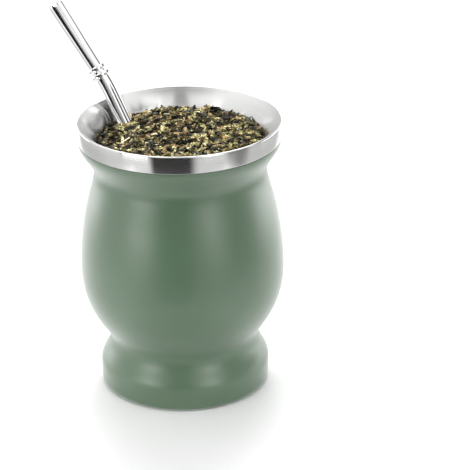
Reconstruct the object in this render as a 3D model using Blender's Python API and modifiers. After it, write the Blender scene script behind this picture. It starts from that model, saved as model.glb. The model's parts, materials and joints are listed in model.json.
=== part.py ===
"""Mate cup with a double steel wall, filled with loose tea leaves, and its drinking tube.

Lengths are in metres and angles in degrees. +Z is up, and the origin is the middle of the cup's flat base.
The cup is two turned pieces: a coated body, and a bare steel liner whose lip folds over into the rim band.
"""
import math
import random

import bmesh
import bpy
import numpy as np
from mathutils import Matrix, Vector, noise

OBJECT_NAME = "mate_cup_with_tea"

# Cup: overall sizes.
CUP_HEIGHT = 0.1110
RIM_RADIUS = 0.0400
BAND_HEIGHT = 0.0070
WALL = 0.0008
CLEARANCE = 0.0003
TURNED_STEPS = 40

# Cup: outer outline above the base corner, as (radius, height), up to the rim band.
BASE_RADIUS = 0.0311
BASE_CORNER = 0.0027
BASE_CORNER_TURN = 80.0
BODY_STATIONS = (
    (0.03385, 0.0060),
    (0.03380, 0.0101),
    (0.03130, 0.0156),
    (0.02997, 0.0211),
    (0.03263, 0.0263),
    (0.03712, 0.0339),
    (0.04009, 0.0440),
    (0.04052, 0.0536),
    (0.03949, 0.0661),
    (0.03730, 0.0775),
    (0.03496, 0.0861),
    (0.03444, 0.0929),
    (0.03587, 0.0959),
    (0.03822, 0.0994),
    (0.03986, 0.1030),
)

# Liner: inner outline above the floor corner, as (radius, height), up to the lip.
LIP_ROUND = 0.0006
LIP_TURN = 135.0
LINER_FLOOR = 0.0240
LINER_FLOOR_RADIUS = 0.0225
LINER_CORNER = 0.0080
LINER_CORNER_TURN = 55.0
LINER_STATIONS = (
    (0.03220, 0.0320),
    (0.03580, 0.0410),
    (0.03690, 0.0500),
    (0.03660, 0.0570),
    (0.03560, 0.0660),
    (0.03380, 0.0760),
    (0.03160, 0.0850),
    (0.03060, 0.0930),
    (0.03090, 0.0980),
    (0.03170, 0.1018),
    (0.03305, 0.1047),
    (0.03470, 0.1069),
    (0.03670, 0.1090),
)
UNDER_LIP_DEPTH = 0.0014

# Tea: a bumpy heap that meets the funnel at its edge height, with curled leaves lying on it.
TEA_EDGE_HEIGHT = 0.1046
TEA_CROWN = 0.0010
TEA_SHOULDER = 0.0060
TEA_TOP_RINGS = 8
BUMP_HEIGHT = 0.0005
BUMP_SIZE = 0.0045
LEAF_COUNT = 96
LEAF_LENGTH = (0.0026, 0.0046)
LEAF_WIDTH = 0.0014
LEAF_THICKNESS = 0.0011
LEAF_CURL = 0.35
LEAF_TILT = 16.0
LEAF_FIELD_RADIUS = 0.0302
LEAF_SEED = 27

# Drinking tube: a straight lower run, a slight bend and a mouth end that widens to an oval.
TEA_ENTRY = Vector((-0.0221, 0.0153, 0.1050))
LOWER_LEAN = 37.7
LOWER_HEADING = 47.5
UPPER_LEAN = 42.7
UPPER_HEADING = 39.0
HIDDEN_LENGTH = 0.0860
BEND_START = 0.0123
BEND_END = 0.0203
TUBE_TOP = 0.0551
TUBE_WALL = 0.0005
TUBE_SIDES = 16
LOWER_TUBE_RADIUS = 0.00293
UPPER_TUBE_RADIUS = 0.00275
MOUTH_HALF_WIDTH = 0.0031
MOUTH_HALF_THICKNESS = 0.0023

# Tube rings: (name, place along the tube, outer radius).
RING_WIDTH = 0.0018
RING_ROUND = 0.0005
RINGS = (
    ("lower_tube_ring", 0.0206, 0.00405),
    ("upper_tube_ring", 0.0236, 0.00380),
)
RING_STEPS = 16

# How far a thinned outline may stray from the true one.
OUTLINE_TOLERANCE = 0.00020

GOLDEN_ANGLE = math.pi * (3.0 - math.sqrt(5.0))


def clear_scene():
    """Removes whatever the new file holds."""
    for thing in list(bpy.data.objects):
        bpy.data.objects.remove(thing, do_unlink=True)


def material(name, colour, roughness, metallic):
    """A Principled material of one colour."""
    made = bpy.data.materials.new(name)
    made.use_nodes = True
    shader = made.node_tree.nodes["Principled BSDF"]
    shader.inputs["Base Color"].default_value = (*colour, 1.0)
    shader.inputs["Roughness"].default_value = roughness
    shader.inputs["Metallic"].default_value = metallic
    return made


def add_object(name, mesh, collection, surface=None):
    """Links a mesh to the collection as an object of that name."""
    thing = bpy.data.objects.new(name, mesh)
    collection.objects.link(thing)
    if surface:
        mesh.materials.append(surface)
    return thing


def evaluated_mesh(thing):
    """A plain mesh of the object with its modifiers applied."""
    graph = bpy.context.evaluated_depsgraph_get()
    return bpy.data.meshes.new_from_object(thing.evaluated_get(graph))


def apply_modifiers(thing):
    """Turns the object's modifiers into its own mesh."""
    mesh = evaluated_mesh(thing)
    thing.modifiers.clear()
    thing.data = mesh


def natural_spline(knots, samples=200):
    """Points of a natural cubic curve through the knots, spaced by chord length."""
    knots = np.array(knots, dtype=float)
    spans = np.linalg.norm(np.diff(knots, axis=0), axis=1)
    along = np.concatenate(([0.0], np.cumsum(spans)))
    matrix = np.eye(len(knots))
    jumps = np.zeros_like(knots)
    for i in range(1, len(knots) - 1):
        matrix[i, i - 1:i + 2] = spans[i - 1], 2.0 * (spans[i - 1] + spans[i]), spans[i]
        jumps[i] = 6.0 * ((knots[i + 1] - knots[i]) / spans[i] - (knots[i] - knots[i - 1]) / spans[i - 1])
    bending = np.linalg.solve(matrix, jumps)
    points = []
    for place in np.linspace(0.0, along[-1], samples):
        i = min(int(np.searchsorted(along, place, side="right")) - 1, len(spans) - 1)
        a = (along[i + 1] - place) / spans[i]
        b = 1.0 - a
        cubic = (a ** 3 - a) * bending[i] + (b ** 3 - b) * bending[i + 1]
        points.append(a * knots[i] + b * knots[i + 1] + cubic * spans[i] ** 2 / 6.0)
    return np.array(points)


def arc(centre, radius, start, end, steps=8):
    """Points of an arc, with its angles in degrees from the +radius direction."""
    angles = np.radians(np.linspace(start, end, steps))
    return np.stack([centre[0] + radius * np.cos(angles), centre[1] + radius * np.sin(angles)], axis=1)


def shift_sideways(points, distance):
    """Moves an outline to the left of its run by the distance, or to the right if negative."""
    run = np.gradient(points, axis=0)
    run /= np.linalg.norm(run, axis=1)[:, None]
    return points + distance * np.stack([-run[:, 1], run[:, 0]], axis=1)


def stations(points, first=0):
    """The numbers of the fewest points that stay within the tolerance of the whole outline."""
    last = first + len(points) - 1
    if len(points) < 3:
        return [first, last]
    chord = points[-1] - points[0]
    offsets = points - points[0]
    distances = np.abs(chord[0] * offsets[:, 1] - chord[1] * offsets[:, 0]) / np.linalg.norm(chord)
    far = int(np.argmax(distances))
    if distances[far] <= OUTLINE_TOLERANCE:
        return [first, last]
    before = stations(points[:far + 1], first)
    return before[:-1] + stations(points[far:], first + far)


def cut_at_height(points, height):
    """The part of a rising outline below the height, ending exactly at it."""
    above = int(np.argmax(points[:, 1] >= height))
    low, high = points[above - 1], points[above]
    share = (height - low[1]) / (high[1] - low[1])
    return np.concatenate([points[:above], [low + share * (high - low)]])


def body_outline():
    """The cup's outer outline, from the base to the rim band."""
    corner = arc((BASE_RADIUS, BASE_CORNER), BASE_CORNER, -90.0, BASE_CORNER_TURN - 90.0)
    band_edge = (RIM_RADIUS, CUP_HEIGHT - BAND_HEIGHT)
    side = natural_spline([tuple(corner[-1]), *BODY_STATIONS, band_edge])
    return np.concatenate([corner[:-1], side])


def liner_outline():
    """The liner's inner outline, from the edge of its floor to the lip."""
    centre = (LINER_FLOOR_RADIUS, LINER_FLOOR + LINER_CORNER)
    corner = arc(centre, LINER_CORNER, -90.0, LINER_CORNER_TURN - 90.0)
    side = natural_spline([tuple(corner[-1]), *LINER_STATIONS, tuple(lip_arc()[0])])
    return np.concatenate([corner[:-1], side])


def lip_arc():
    """The rounded lip, from the funnel side over the top to the band's outer face."""
    centre = (RIM_RADIUS - LIP_ROUND, CUP_HEIGHT - LIP_ROUND)
    return arc(centre, LIP_ROUND, LIP_TURN, 0.0, steps=6)


def turned(name, profile, collection, surface=None, steps=TURNED_STEPS):
    """A solid turned about Z from a profile of (radius, height) that is open or closed by the axis."""
    mesh = bpy.data.meshes.new(name)
    points = [(radius, 0.0, height) for radius, height in profile]
    mesh.from_pydata(points, [(i, i + 1) for i in range(len(points) - 1)], [])
    thing = add_object(name, mesh, collection, surface)
    screw = thing.modifiers.new("turn", "SCREW")
    screw.axis = "Z"
    screw.angle = math.tau
    screw.steps = steps
    screw.render_steps = steps
    screw.use_merge_vertices = True
    screw.merge_threshold = 0.00001
    screw.use_smooth_shade = True
    return thing


def build_coated_body(collection):
    """The coated outer wall: open at the top, with a flat base at the origin."""
    outline = body_outline()
    kept = stations(outline)
    top = CUP_HEIGHT - BAND_HEIGHT - CLEARANCE
    profile = np.concatenate([
        [(0.0, WALL)],
        cut_at_height(shift_sideways(outline, WALL)[kept], top),
        cut_at_height(outline[kept], top)[::-1],
        [(0.0, 0.0)],
    ])
    coat = material("sage_green_coat", (0.17, 0.24, 0.17), 0.42, 0.0)
    return turned("coated_body", profile, collection, coat)


def build_steel_liner(collection):
    """The steel liner with its floor, funnel, lip and rim band, one turned solid."""
    inside = liner_outline()
    kept = stations(inside)
    under_lip = CUP_HEIGHT - UNDER_LIP_DEPTH
    band_inside = RIM_RADIUS - WALL
    band_bottom = CUP_HEIGHT - BAND_HEIGHT
    profile = np.concatenate([
        [(0.0, LINER_FLOOR)],
        inside[kept][:-1],
        lip_arc(),
        [(RIM_RADIUS, band_bottom), (band_inside, band_bottom), (band_inside, under_lip)],
        cut_at_height(shift_sideways(inside, -WALL)[kept], under_lip)[::-1],
        [(0.0, LINER_FLOOR - WALL)],
    ])
    steel = material("brushed_steel", (0.62, 0.62, 0.60), 0.28, 1.0)
    return turned("steel_liner", profile, collection, steel)


def tube_direction(place):
    """The tube's direction at a place along it, counted upwards from where it leaves the tea."""
    share = min(max((place - BEND_START) / (BEND_END - BEND_START), 0.0), 1.0)
    lean = math.radians(LOWER_LEAN + (UPPER_LEAN - LOWER_LEAN) * share)
    heading = math.radians(LOWER_HEADING + (UPPER_HEADING - LOWER_HEADING) * share)
    return Vector((-math.sin(lean) * math.cos(heading), math.sin(lean) * math.sin(heading), math.cos(lean)))


def tube_point(place, steps=60):
    """The point of the tube's middle line at a place along it."""
    point = TEA_ENTRY.copy()
    step = place / steps
    for i in range(steps):
        point += tube_direction((i + 0.5) * step) * step
    return point


def tube_half_sizes(place):
    """The tube's half width and half thickness at a place along it."""
    lower_ring, upper_ring = RINGS[0][1], RINGS[1][1]
    share = min(max((place - lower_ring) / (upper_ring - lower_ring), 0.0), 1.0)
    radius = LOWER_TUBE_RADIUS + (UPPER_TUBE_RADIUS - LOWER_TUBE_RADIUS) * share
    flat = min(max((place - upper_ring) / (TUBE_TOP - upper_ring), 0.0), 1.0)
    flat = flat * flat * (3.0 - 2.0 * flat)
    half_width = radius + (MOUTH_HALF_WIDTH - UPPER_TUBE_RADIUS) * flat
    half_thickness = radius + (MOUTH_HALF_THICKNESS - UPPER_TUBE_RADIUS) * flat
    return half_width, half_thickness


def tube_section(place, extra=0.0):
    """The points of one section across the tube, grown by an extra radius."""
    direction = tube_direction(place)
    face = (Vector((0.0, -1.0, 0.0)) - direction * -direction.y).normalized()
    across = direction.cross(face)
    half_width, half_thickness = tube_half_sizes(place)
    centre = tube_point(place)
    points = []
    for i in range(TUBE_SIDES):
        angle = math.tau * i / TUBE_SIDES
        points.append(centre + across * (half_width + extra) * math.cos(angle)
                      + face * (half_thickness + extra) * math.sin(angle))
    return points


def loft(name, sections, capped):
    """A mesh through rings of points, open or capped at both ends."""
    shape = bmesh.new()
    rings = [[shape.verts.new(point) for point in section] for section in sections]
    for low, high in zip(rings, rings[1:]):
        for i in range(len(low)):
            j = (i + 1) % len(low)
            shape.faces.new((low[i], low[j], high[j], high[i]))
    if capped:
        shape.faces.new(rings[0][::-1])
        shape.faces.new(rings[-1])
    bmesh.ops.recalc_face_normals(shape, faces=shape.faces)
    mesh = bpy.data.meshes.new(name)
    shape.to_mesh(mesh)
    shape.free()
    mesh.shade_smooth()
    return mesh


def tube_places():
    """Where the tube needs a section: its ends, along the bend, and along the oval end."""
    bend = np.linspace(BEND_START, BEND_END, 5)
    mouth = np.linspace(RINGS[1][1], TUBE_TOP, 6)
    return [-HIDDEN_LENGTH, *bend, *mouth]


def build_drinking_tube(collection):
    """The thin-walled tube, open right through."""
    mesh = loft("drinking_tube", [tube_section(place) for place in tube_places()], capped=False)
    steel = material("polished_steel", (0.72, 0.72, 0.72), 0.10, 1.0)
    thing = add_object("drinking_tube", mesh, collection, steel)
    wall = thing.modifiers.new("wall", "SOLIDIFY")
    wall.thickness = TUBE_WALL
    wall.offset = -1.0
    wall.use_even_offset = True
    return thing


def build_tube_ring(name, place, outer_radius, collection, surface):
    """One collar round the tube, turned about the tube's middle line."""
    inner_radius = tube_half_sizes(place - RING_WIDTH / 2.0)[0] + CLEARANCE
    half = RING_WIDTH / 2.0
    middle = outer_radius - RING_ROUND
    upper = arc((middle, half - RING_ROUND), RING_ROUND, 90.0, 0.0, steps=3)
    lower = arc((middle, RING_ROUND - half), RING_ROUND, 0.0, -90.0, steps=3)
    profile = np.concatenate([[(inner_radius, half)], upper, lower, [(inner_radius, -half), (inner_radius, half)]])
    thing = turned(name, profile, collection, surface, steps=RING_STEPS)
    turn = Vector((0.0, 0.0, 1.0)).rotation_difference(tube_direction(place))
    thing.matrix_world = Matrix.Translation(tube_point(place)) @ turn.to_matrix().to_4x4()
    return thing


def tea_height(x, y):
    """The height of the tea's bumpy top at a place across the cup."""
    edge_radius = LINER_STATIONS[10][0]
    inward = min(max((edge_radius - math.hypot(x, y)) / TEA_SHOULDER, 0.0), 1.0)
    crown = TEA_CROWN * inward * inward * (3.0 - 2.0 * inward)
    bump = noise.noise(Vector((x, y, 0.0)) / BUMP_SIZE)
    return TEA_EDGE_HEIGHT + crown + BUMP_HEIGHT * bump * inward


def tea_core(collection):
    """The body of tea that fills the liner, with its top raised into bumps."""
    liner = liner_outline()
    wall = shift_sideways(liner, CLEARANCE)[stations(liner)]
    side = cut_at_height(wall, TEA_EDGE_HEIGHT)[::-1]
    top = [(side[0][0] * i / TEA_TOP_RINGS, TEA_EDGE_HEIGHT) for i in range(TEA_TOP_RINGS)]
    profile = np.concatenate([top, side, [(0.0, LINER_FLOOR + CLEARANCE)]])
    core = turned("tea_leaves", profile, collection)
    apply_modifiers(core)
    rim = side[0][0] - CLEARANCE
    for vertex in core.data.vertices:
        place = vertex.co
        if place.z > TEA_EDGE_HEIGHT - CLEARANCE and math.hypot(place.x, place.y) < rim:
            place.z = tea_height(place.x, place.y)
    return core


def leaf_mesh(length, curl):
    """One curled leaf: a slim pod, bent along its length."""
    shape = bmesh.new()
    bmesh.ops.create_uvsphere(shape, u_segments=6, v_segments=3, radius=0.5)
    for vertex in shape.verts:
        along = vertex.co.z
        vertex.co = Vector((
            along * length,
            vertex.co.y * LEAF_WIDTH,
            vertex.co.x * LEAF_THICKNESS + curl * length * (0.25 - along * along),
        ))
    bmesh.ops.recalc_face_normals(shape, faces=shape.faces)
    mesh = bpy.data.meshes.new("leaf")
    shape.to_mesh(mesh)
    shape.free()
    return mesh


def scatter_leaves(collection):
    """Leaves laid over the tea on an even spiral, clear of the tube."""
    draw = random.Random(LEAF_SEED)
    entry = TEA_ENTRY.to_2d()
    for i in range(LEAF_COUNT):
        radius = LEAF_FIELD_RADIUS * math.sqrt((i + 0.5) / LEAF_COUNT)
        angle = GOLDEN_ANGLE * i + draw.uniform(-0.2, 0.2)
        length = draw.uniform(*LEAF_LENGTH)
        curl = LEAF_CURL * draw.uniform(-0.3, 1.0)
        turn = draw.uniform(0.0, math.tau)
        tilt = math.radians(draw.uniform(-LEAF_TILT, LEAF_TILT))
        place = Vector((radius * math.cos(angle), radius * math.sin(angle)))
        if (place - entry).length < LOWER_TUBE_RADIUS + LEAF_LENGTH[1] / 2.0:
            continue
        leaf = add_object(f"leaf_{i}", leaf_mesh(length, curl), collection)
        leaf.location = (place.x, place.y, tea_height(place.x, place.y))
        leaf.rotation_euler = (0.0, tilt, turn)


def build_tea(collection, cutters):
    """The tea: its core with the leaves joined on, and the hole that the drinking tube stands in."""
    core = tea_core(collection)
    leaves = bpy.data.collections.new("leaves")
    bpy.context.scene.collection.children.link(leaves)
    scatter_leaves(leaves)
    bpy.context.view_layer.update()
    join = core.modifiers.new("join", "BOOLEAN")
    join.operation = "UNION"
    join.operand_type = "COLLECTION"
    join.collection = leaves
    join.solver = "EXACT"
    apply_modifiers(core)
    for leaf in list(leaves.objects):
        bpy.data.objects.remove(leaf, do_unlink=True)
    bpy.data.collections.remove(leaves)

    bore_gap = CLEARANCE / math.cos(math.pi / TUBE_SIDES)
    places = (-HIDDEN_LENGTH - CLEARANCE, BEND_START)
    sections = [tube_section(place, bore_gap) for place in places]
    cutter = add_object("tube_cutter", loft("tube_cutter", sections, capped=True), cutters)
    cutter.hide_render = True
    cutter.display_type = "WIRE"
    cut = core.modifiers.new("tube_hole", "BOOLEAN")
    cut.operation = "DIFFERENCE"
    cut.object = cutter
    cut.solver = "EXACT"
    core.data.materials.clear()
    core.data.materials.append(material("dry_tea", (0.10, 0.09, 0.05), 0.85, 0.0))
    return core


def main():
    """Builds every piece into a collection named for the object."""
    clear_scene()
    pieces = bpy.data.collections.new(OBJECT_NAME)
    cutters = bpy.data.collections.new("cutters")
    bpy.context.scene.collection.children.link(pieces)
    bpy.context.scene.collection.children.link(cutters)
    build_coated_body(pieces)
    build_steel_liner(pieces)
    build_tea(pieces, cutters)
    tube = build_drinking_tube(pieces)
    for name, place, outer_radius in RINGS:
        build_tube_ring(name, place, outer_radius, pieces, tube.data.materials[0])


main()
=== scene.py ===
"""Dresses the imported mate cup: satin coat, brushed steel, loose tea leaves and the polished drinking tube.

Lengths are in metres and angles in degrees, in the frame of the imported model: the cup's axis is Z, its flat
base stands on z = 0, and the front of the cup looks towards -Y.
"""
import json
import logging
import math
from dataclasses import dataclass
from enum import Enum

import bmesh
import bpy
import numpy as np
from mathutils import Matrix, Vector, noise

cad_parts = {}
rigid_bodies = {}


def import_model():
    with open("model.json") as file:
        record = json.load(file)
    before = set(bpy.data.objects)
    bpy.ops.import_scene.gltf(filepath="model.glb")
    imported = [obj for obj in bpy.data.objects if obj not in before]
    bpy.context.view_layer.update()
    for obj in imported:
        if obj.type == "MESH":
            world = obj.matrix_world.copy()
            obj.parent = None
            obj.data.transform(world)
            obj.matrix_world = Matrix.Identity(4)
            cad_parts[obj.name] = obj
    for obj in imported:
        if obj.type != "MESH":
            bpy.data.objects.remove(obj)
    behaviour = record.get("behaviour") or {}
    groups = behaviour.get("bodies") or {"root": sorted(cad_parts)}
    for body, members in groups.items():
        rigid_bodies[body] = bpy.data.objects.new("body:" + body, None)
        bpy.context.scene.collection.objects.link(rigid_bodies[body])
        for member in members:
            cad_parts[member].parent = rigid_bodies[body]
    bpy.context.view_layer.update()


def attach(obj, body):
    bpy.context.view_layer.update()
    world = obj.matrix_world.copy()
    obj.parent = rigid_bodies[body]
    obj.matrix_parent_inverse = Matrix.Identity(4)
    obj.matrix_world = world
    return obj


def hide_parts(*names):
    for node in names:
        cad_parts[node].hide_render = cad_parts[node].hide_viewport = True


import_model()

LOG = logging.getLogger("mate_cup")

Pair = tuple[float, float]
Colour = tuple[float, float, float]
Socket = bpy.types.NodeSocket
Mesh = bpy.types.Mesh
Piece = bpy.types.Object
Finish = bpy.types.Material

BODY = "root"
UV_NAME = "surface"
TONE_NAME = "tone"


class Slot(Enum):
    """The record's material slots."""

    COAT = "sage_coat"
    BRUSHED = "brushed_steel"
    TEA = "dry_tea"
    POLISHED = "polished_steel"


@dataclass(frozen=True)
class Profile:
    """An outline of (radius, height) points that runs upwards.

    Attributes:
        points: The outline's points, one row each.
    """

    points: np.ndarray

    @staticmethod
    def arc(centre: Pair, radius: float, start: float, end: float, steps: int = 12) -> "Profile":
        """Makes a round stretch.

        Args:
            centre: The arc's centre, as radius and height.
            radius: The arc's own radius.
            start: The first angle, from the +radius direction.
            end: The last angle.
            steps: How many points the arc has.

        Returns:
            The arc as a profile.
        """
        angles = np.radians(np.linspace(start, end, steps))
        radii = centre[0] + radius * np.cos(angles)
        heights = centre[1] + radius * np.sin(angles)
        return Profile(np.stack([radii, heights], axis=1))

    @staticmethod
    def through(knots: list[Pair], samples: int) -> "Profile":
        """Makes a natural cubic curve through knots, spaced by chord length.

        Args:
            knots: The points that the curve passes.
            samples: How many points the curve has.

        Returns:
            The curve as a profile.
        """
        knot_rows = np.array(knots, dtype=float)
        spans = np.linalg.norm(np.diff(knot_rows, axis=0), axis=1)
        along = np.concatenate(([0.0], np.cumsum(spans)))
        matrix = np.eye(len(knot_rows))
        jumps = np.zeros_like(knot_rows)
        slopes = np.diff(knot_rows, axis=0) / spans[:, None]
        for i in range(1, len(knot_rows) - 1):
            matrix[i, i - 1:i + 2] = spans[i - 1], 2.0 * (spans[i - 1] + spans[i]), spans[i]
            jumps[i] = 6.0 * (slopes[i] - slopes[i - 1])
        bending = np.linalg.solve(matrix, jumps)
        places = np.linspace(0.0, along[-1], samples)
        cell = np.clip(np.searchsorted(along, places, side="right") - 1, 0, len(spans) - 1)
        span = spans[cell][:, None]
        a = (along[cell + 1] - places)[:, None] / span
        b = 1.0 - a
        cubic = (a ** 3 - a) * bending[cell] + (b ** 3 - b) * bending[cell + 1]
        return Profile(a * knot_rows[cell] + b * knot_rows[cell + 1] + cubic * span ** 2 / 6.0)

    def then(self, other: "Profile") -> "Profile":
        """Returns this profile followed by another that starts where it ends."""
        return Profile(np.concatenate([self.points[:-1], other.points]))

    def shifted(self, distance: float) -> "Profile":
        """Moves the profile towards the axis.

        Args:
            distance: How far, or away from the axis if it is negative.

        Returns:
            The moved profile.
        """
        run = np.gradient(self.points, axis=0)
        run /= np.linalg.norm(run, axis=1)[:, None]
        return Profile(self.points + distance * np.stack([-run[:, 1], run[:, 0]], axis=1))

    def below(self, height: float) -> "Profile":
        """Cuts the profile off.

        Args:
            height: Where the part that is kept ends.

        Returns:
            The part below the height, with its last point on it.
        """
        above = int(np.argmax(self.points[:, 1] >= height))
        low, high = self.points[above - 1], self.points[above]
        share = (height - low[1]) / (high[1] - low[1])
        return Profile(np.concatenate([self.points[:above], [low + share * (high - low)]]))

    def radius_at(self, heights: np.ndarray) -> np.ndarray:
        """Returns the radius at each height, for a profile that never turns down."""
        return np.interp(heights, self.points[:, 1], self.points[:, 0])


def smooth_share(value: float) -> float:
    """Returns a value held between 0 and 1 and eased at both ends."""
    share = min(max(value, 0.0), 1.0)
    return share * share * (3.0 - 2.0 * share)


def closed_mesh(shape: bmesh.types.BMesh, name: str, placing: Matrix | None = None) -> Mesh:
    """Turns a shape's faces outwards and makes it a mesh.

    Args:
        shape: The shape, which is freed.
        name: The mesh's name.
        placing: Where the shape goes, or None where it is in place.

    Returns:
        The mesh.
    """
    bmesh.ops.recalc_face_normals(shape, faces=shape.faces)
    if placing is not None:
        bmesh.ops.transform(shape, matrix=placing, verts=shape.verts)
    mesh = bpy.data.meshes.new(name)
    shape.to_mesh(mesh)
    shape.free()
    return mesh


def linked(name: str, data: bpy.types.ID) -> Piece:
    """Returns a new object of the scene that shows a mesh, a camera or a lamp."""
    made = bpy.data.objects.new(name, data)
    bpy.context.scene.collection.objects.link(made)
    return made


def add_piece(name: str, mesh: Mesh, finish: Finish, sharp: float = 40.0) -> Piece:
    """Links a mesh as a finished piece with smooth shading.

    Args:
        name: The piece's name.
        mesh: Its mesh, with its place in it.
        finish: Its material.
        sharp: The angle past which an edge stays sharp.

    Returns:
        The new object.
    """
    mesh.materials.clear()
    mesh.materials.append(finish)
    mesh.shade_smooth()
    mesh.set_sharp_from_angle(angle=math.radians(sharp))
    return linked(name, mesh)


def hand_over(piece: Piece, node: str) -> Piece:
    """Makes a piece ride on the cup's body and stand for its CAD node.

    Args:
        piece: The finished piece.
        node: The CAD node that it stands for.

    Returns:
        The piece.
    """
    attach(piece, BODY)
    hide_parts(node)
    LOG.info("%s: %d faces, for %s", piece.name, len(piece.data.polygons), node)
    return piece


def turned_mesh(name: str, outline: np.ndarray, segments: int, placing: Matrix | None = None) -> Mesh:
    """Turns a closed outline round the Z axis into one closed mesh.

    The outline either starts and ends on the axis, or starts and ends at the same point.

    Args:
        name: The mesh's name.
        outline: Rows of (radius, height), up the inner side and down the outer one.
        segments: How many steps the full turn has.
        placing: Where the turned shape goes, or None for the cup's own axis.

    Returns:
        The mesh, with a UV map in metres round and along the surface.
    """
    shape = bmesh.new()
    uv_layer = shape.loops.layers.uv.new(UV_NAME)
    angles = [math.tau * i / segments for i in range(segments)]
    on_axis = outline[:, 0] < 1e-9
    rings: list[list[bmesh.types.BMVert]] = []
    for (radius, height), pole in zip(outline, on_axis):
        if pole:
            rings.append([shape.verts.new((0.0, 0.0, height))] * segments)
        else:
            spots = [(radius * math.cos(a), radius * math.sin(a), height) for a in angles]
            rings.append([shape.verts.new(spot) for spot in spots])
    if not on_axis[0]:
        for vertex in rings[-1]:
            shape.verts.remove(vertex)
        rings[-1] = rings[0]
    lengths = np.concatenate(([0.0], np.cumsum(np.linalg.norm(np.diff(outline, axis=0), axis=1))))
    round_length = math.tau * float(outline[:, 0].max())
    for row in range(len(outline) - 1):
        low, high = rings[row], rings[row + 1]
        for i in range(segments):
            j = (i + 1) % segments
            corners = [(low[i], i, row), (low[j], i + 1, row),
                       (high[j], i + 1, row + 1), (high[i], i, row + 1)]
            if on_axis[row]:
                corners.pop(1)
            elif on_axis[row + 1]:
                corners.pop(2)
            face = shape.faces.new([corner[0] for corner in corners])
            for loop, (_, step, level) in zip(face.loops, corners):
                loop[uv_layer].uv = (round_length * step / segments, lengths[level])
    return closed_mesh(shape, name, placing)


class NodeSheet:
    """A node tree with short calls to add and join its nodes."""

    def __init__(self, tree: bpy.types.NodeTree) -> None:
        """Starts on an empty tree."""
        self.tree = tree
        tree.nodes.clear()

    def add(self, kind: str, inputs: dict[str | int, object] | None = None,
            **settings: object) -> bpy.types.Node:
        """Adds a node.

        Args:
            kind: The node's type, such as ShaderNodeMath.
            inputs: Values, or outputs to link, by socket name or number.
            **settings: The node's own properties.

        Returns:
            The new node.
        """
        made = self.tree.nodes.new(kind)
        for key, value in settings.items():
            setattr(made, key, value)
        for key, value in (inputs or {}).items():
            if isinstance(value, Socket):
                self.tree.links.new(value, made.inputs[key])
            else:
                made.inputs[key].default_value = value
        return made

    def math(self, operation: str, *values: object, clamp: bool = False) -> Socket:
        """Adds an operation on numbers.

        Args:
            operation: Which one.
            *values: Numbers, or sockets that give them.
            clamp: Whether the outcome is held between 0 and 1.

        Returns:
            The outcome.
        """
        made = self.add("ShaderNodeMath", dict(enumerate(values)), operation=operation, use_clamp=clamp)
        return made.outputs["Value"]

    def vector_math(self, operation: str, *values: object, output: str = "Vector") -> Socket:
        """Returns the named output of an operation on vectors."""
        return self.add("ShaderNodeVectorMath", dict(enumerate(values)), operation=operation).outputs[output]

    def remap(self, value: Socket, given: Pair, wanted: Pair = (0.0, 1.0), **settings: object) -> Socket:
        """Stretches one range of numbers to another.

        Args:
            value: The number.
            given: The range that it comes in.
            wanted: The range that it goes out in.
            **settings: The node's own properties.

        Returns:
            The new number.
        """
        made = self.add("ShaderNodeMapRange", {
            "Value": value, "From Min": given[0], "From Max": given[1],
            "To Min": wanted[0], "To Max": wanted[1],
        }, **settings)
        return made.outputs["Result"]

    def noise(self, place: Socket, scale: float, detail: float = 2.0) -> Socket:
        """Returns a cloudy number that changes with the place."""
        made = self.add("ShaderNodeTexNoise", {"Vector": place, "Scale": scale, "Detail": detail})
        return made.outputs["Fac"]

    def blend(self, share: object, first: object, second: object, **settings: object) -> Socket:
        """Returns the mix of two colours."""
        made = self.add("ShaderNodeMix", {"Factor": share, 6: first, 7: second}, data_type="RGBA", **settings)
        return made.outputs[2]

    def ramp(self, share: Socket, stops: list[tuple[float, Colour]]) -> Socket:
        """Adds a colour ramp.

        Args:
            share: What drives the ramp.
            stops: Its places, from 0 to 1, and their colours.

        Returns:
            The ramp's colour.
        """
        made = self.add("ShaderNodeValToRGB", {"Fac": share})
        elements = made.color_ramp.elements
        while len(elements) < len(stops):
            elements.new(1.0)
        for element, (place, colour) in zip(elements, stops):
            element.position = place
            element.color = (*colour, 1.0)
        return made.outputs["Color"]

    def grey_ramp(self, angle: Socket, stops: tuple[Pair, ...]) -> Socket:
        """Adds a ramp of greys over the angles from its first stop to its last.

        Args:
            angle: What drives the ramp.
            stops: Its angles, and how bright each is.

        Returns:
            The ramp's colour.
        """
        first, last = stops[0][0], stops[-1][0]
        greys = [((turn - first) / (last - first), (shade, shade, shade)) for turn, shade in stops]
        return self.ramp(self.remap(angle, (first, last)), greys)


class ShaderSheet(NodeSheet):
    """A material's nodes, with its shader and the place on the piece."""

    def __init__(self, name: str, **constants: object) -> None:
        """Starts a material.

        Args:
            name: The material's name.
            **constants: Values for the shader's sockets, with underscores for spaces.
        """
        self.material = bpy.data.materials.new(name)
        self.material.use_nodes = True
        super().__init__(self.material.node_tree)
        self.shader = self.add("ShaderNodeBsdfPrincipled")
        for key, value in constants.items():
            self.shader.inputs[key.replace("_", " ")].default_value = value
        self.add("ShaderNodeOutputMaterial", {"Surface": self.shader.outputs["BSDF"]})
        self.place = self.add("ShaderNodeTexCoord").outputs["Object"]

    def bump(self, height: Socket, distance: float) -> Socket:
        """Returns the normal of a surface that rises with the height, by the distance at most."""
        made = self.add("ShaderNodeBump", {"Height": height, "Strength": 1.0, "Distance": distance})
        return made.outputs["Normal"]

    def feed(self, **sources: Socket) -> Finish:
        """Links the shader's sockets to what feeds them.

        Args:
            **sources: What feeds each socket, named with underscores for spaces.

        Returns:
            The finished material.
        """
        for key, source in sources.items():
            self.tree.links.new(source, self.shader.inputs[key.replace("_", " ")])
        return self.material


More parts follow.
